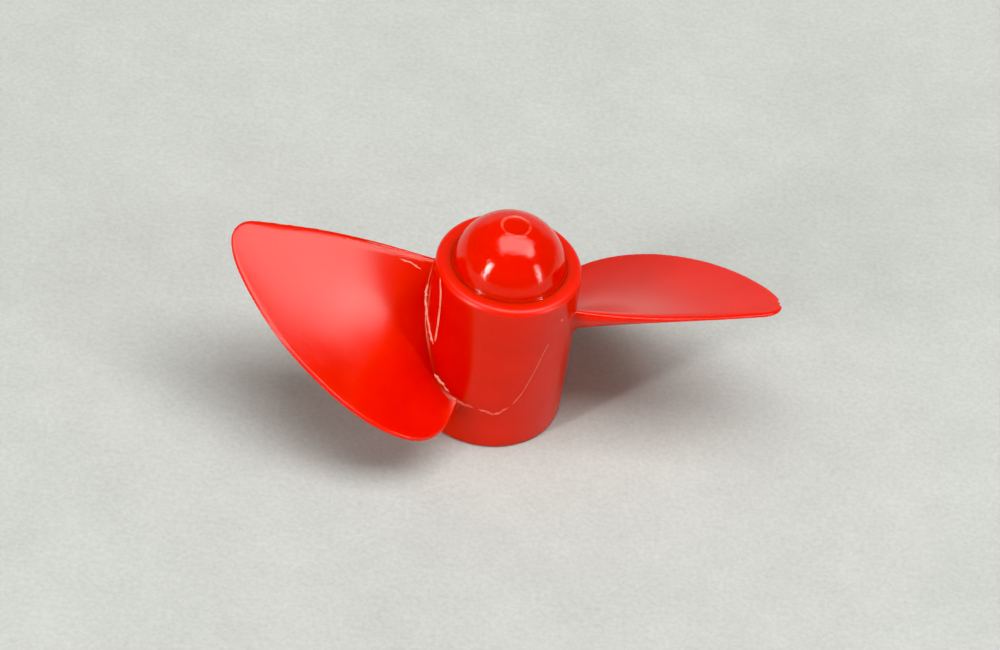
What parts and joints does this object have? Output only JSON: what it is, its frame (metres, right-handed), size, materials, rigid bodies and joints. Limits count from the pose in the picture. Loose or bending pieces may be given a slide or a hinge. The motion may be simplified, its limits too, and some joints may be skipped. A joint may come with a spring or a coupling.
{
  "type": "model boat propeller",
  "caption": "Left-hand two-blade marine screw moulded in glossy red plastic, with a drafted round hub, a domed nose cap set in the hub's rim and a threaded brass insert in its drive end.",
  "frame": {"origin": "centre of the hub's drive-end face, on the shaft axis, which is also what the part stands on", "axes": "+Z along the shaft axis towards the nose cap, X through the two blade tips"},
  "size_m": [0.04, 0.0204, 0.0171],
  "materials": {
    "red_plastic": "glossy moulded",
    "brass": "turned and knurled"
  },
  "bodies": {
    "root": {"propeller": "red_plastic", "nose_cap": "red_plastic", "threaded_insert": "brass"}
  },
  "joints": []
}
